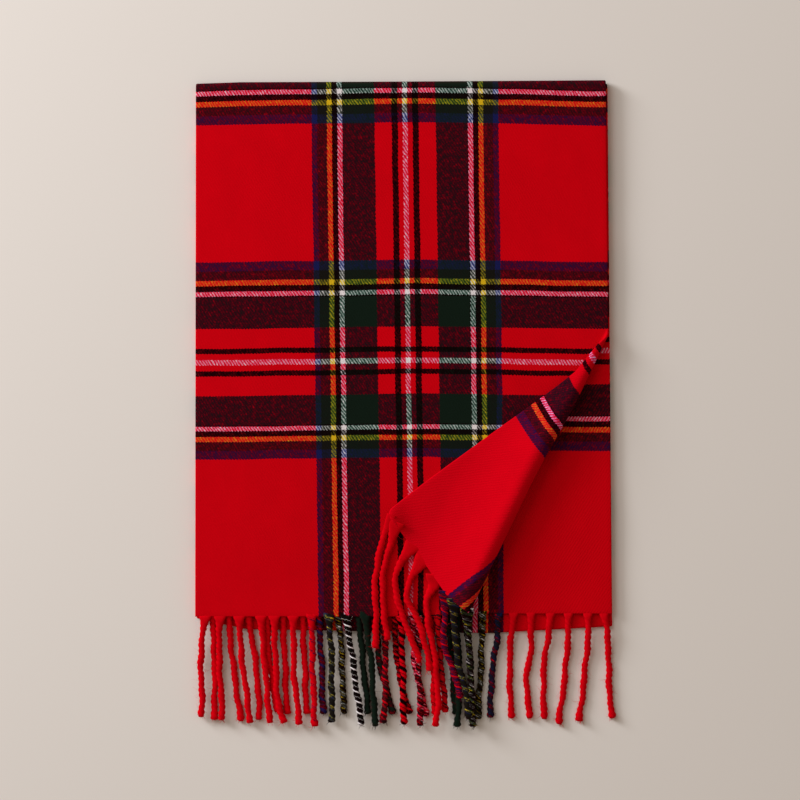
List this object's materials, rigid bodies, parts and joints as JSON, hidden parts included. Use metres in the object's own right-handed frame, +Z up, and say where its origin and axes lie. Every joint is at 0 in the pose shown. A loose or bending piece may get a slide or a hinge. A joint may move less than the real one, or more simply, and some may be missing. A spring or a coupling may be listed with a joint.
{
  "type": "tartan blanket scarf",
  "caption": "Brushed wool tartan scarf folded in layers and laid flat, with twisted fringes and one corner of the top layer turned back.",
  "frame": {"origin": "on the surface that the scarf lies on, under the middle of its box", "axes": "+Y from the fringes towards the outer fold, +X across the scarf towards the turned-back corner, +Z up"},
  "size_m": [0.3541, 0.55, 0.0177],
  "materials": {
    "tartan_wool": "brushed woollen 2/2 twill in a red tartan sett, soft nap, matt",
    "fringe_wool": "twisted strands of the cloth's own warp yarns, hairy, matt"
  },
  "bodies": {
    "root": {"folded_layers": "tartan_wool", "under_layer": "tartan_wool", "top_layer": "tartan_wool", "turned_corner": "tartan_wool", "fringe_under": "fringe_wool", "fringe_top": "fringe_wool", "fringe_turned": "fringe_wool"}
  },
  "joints": []
}
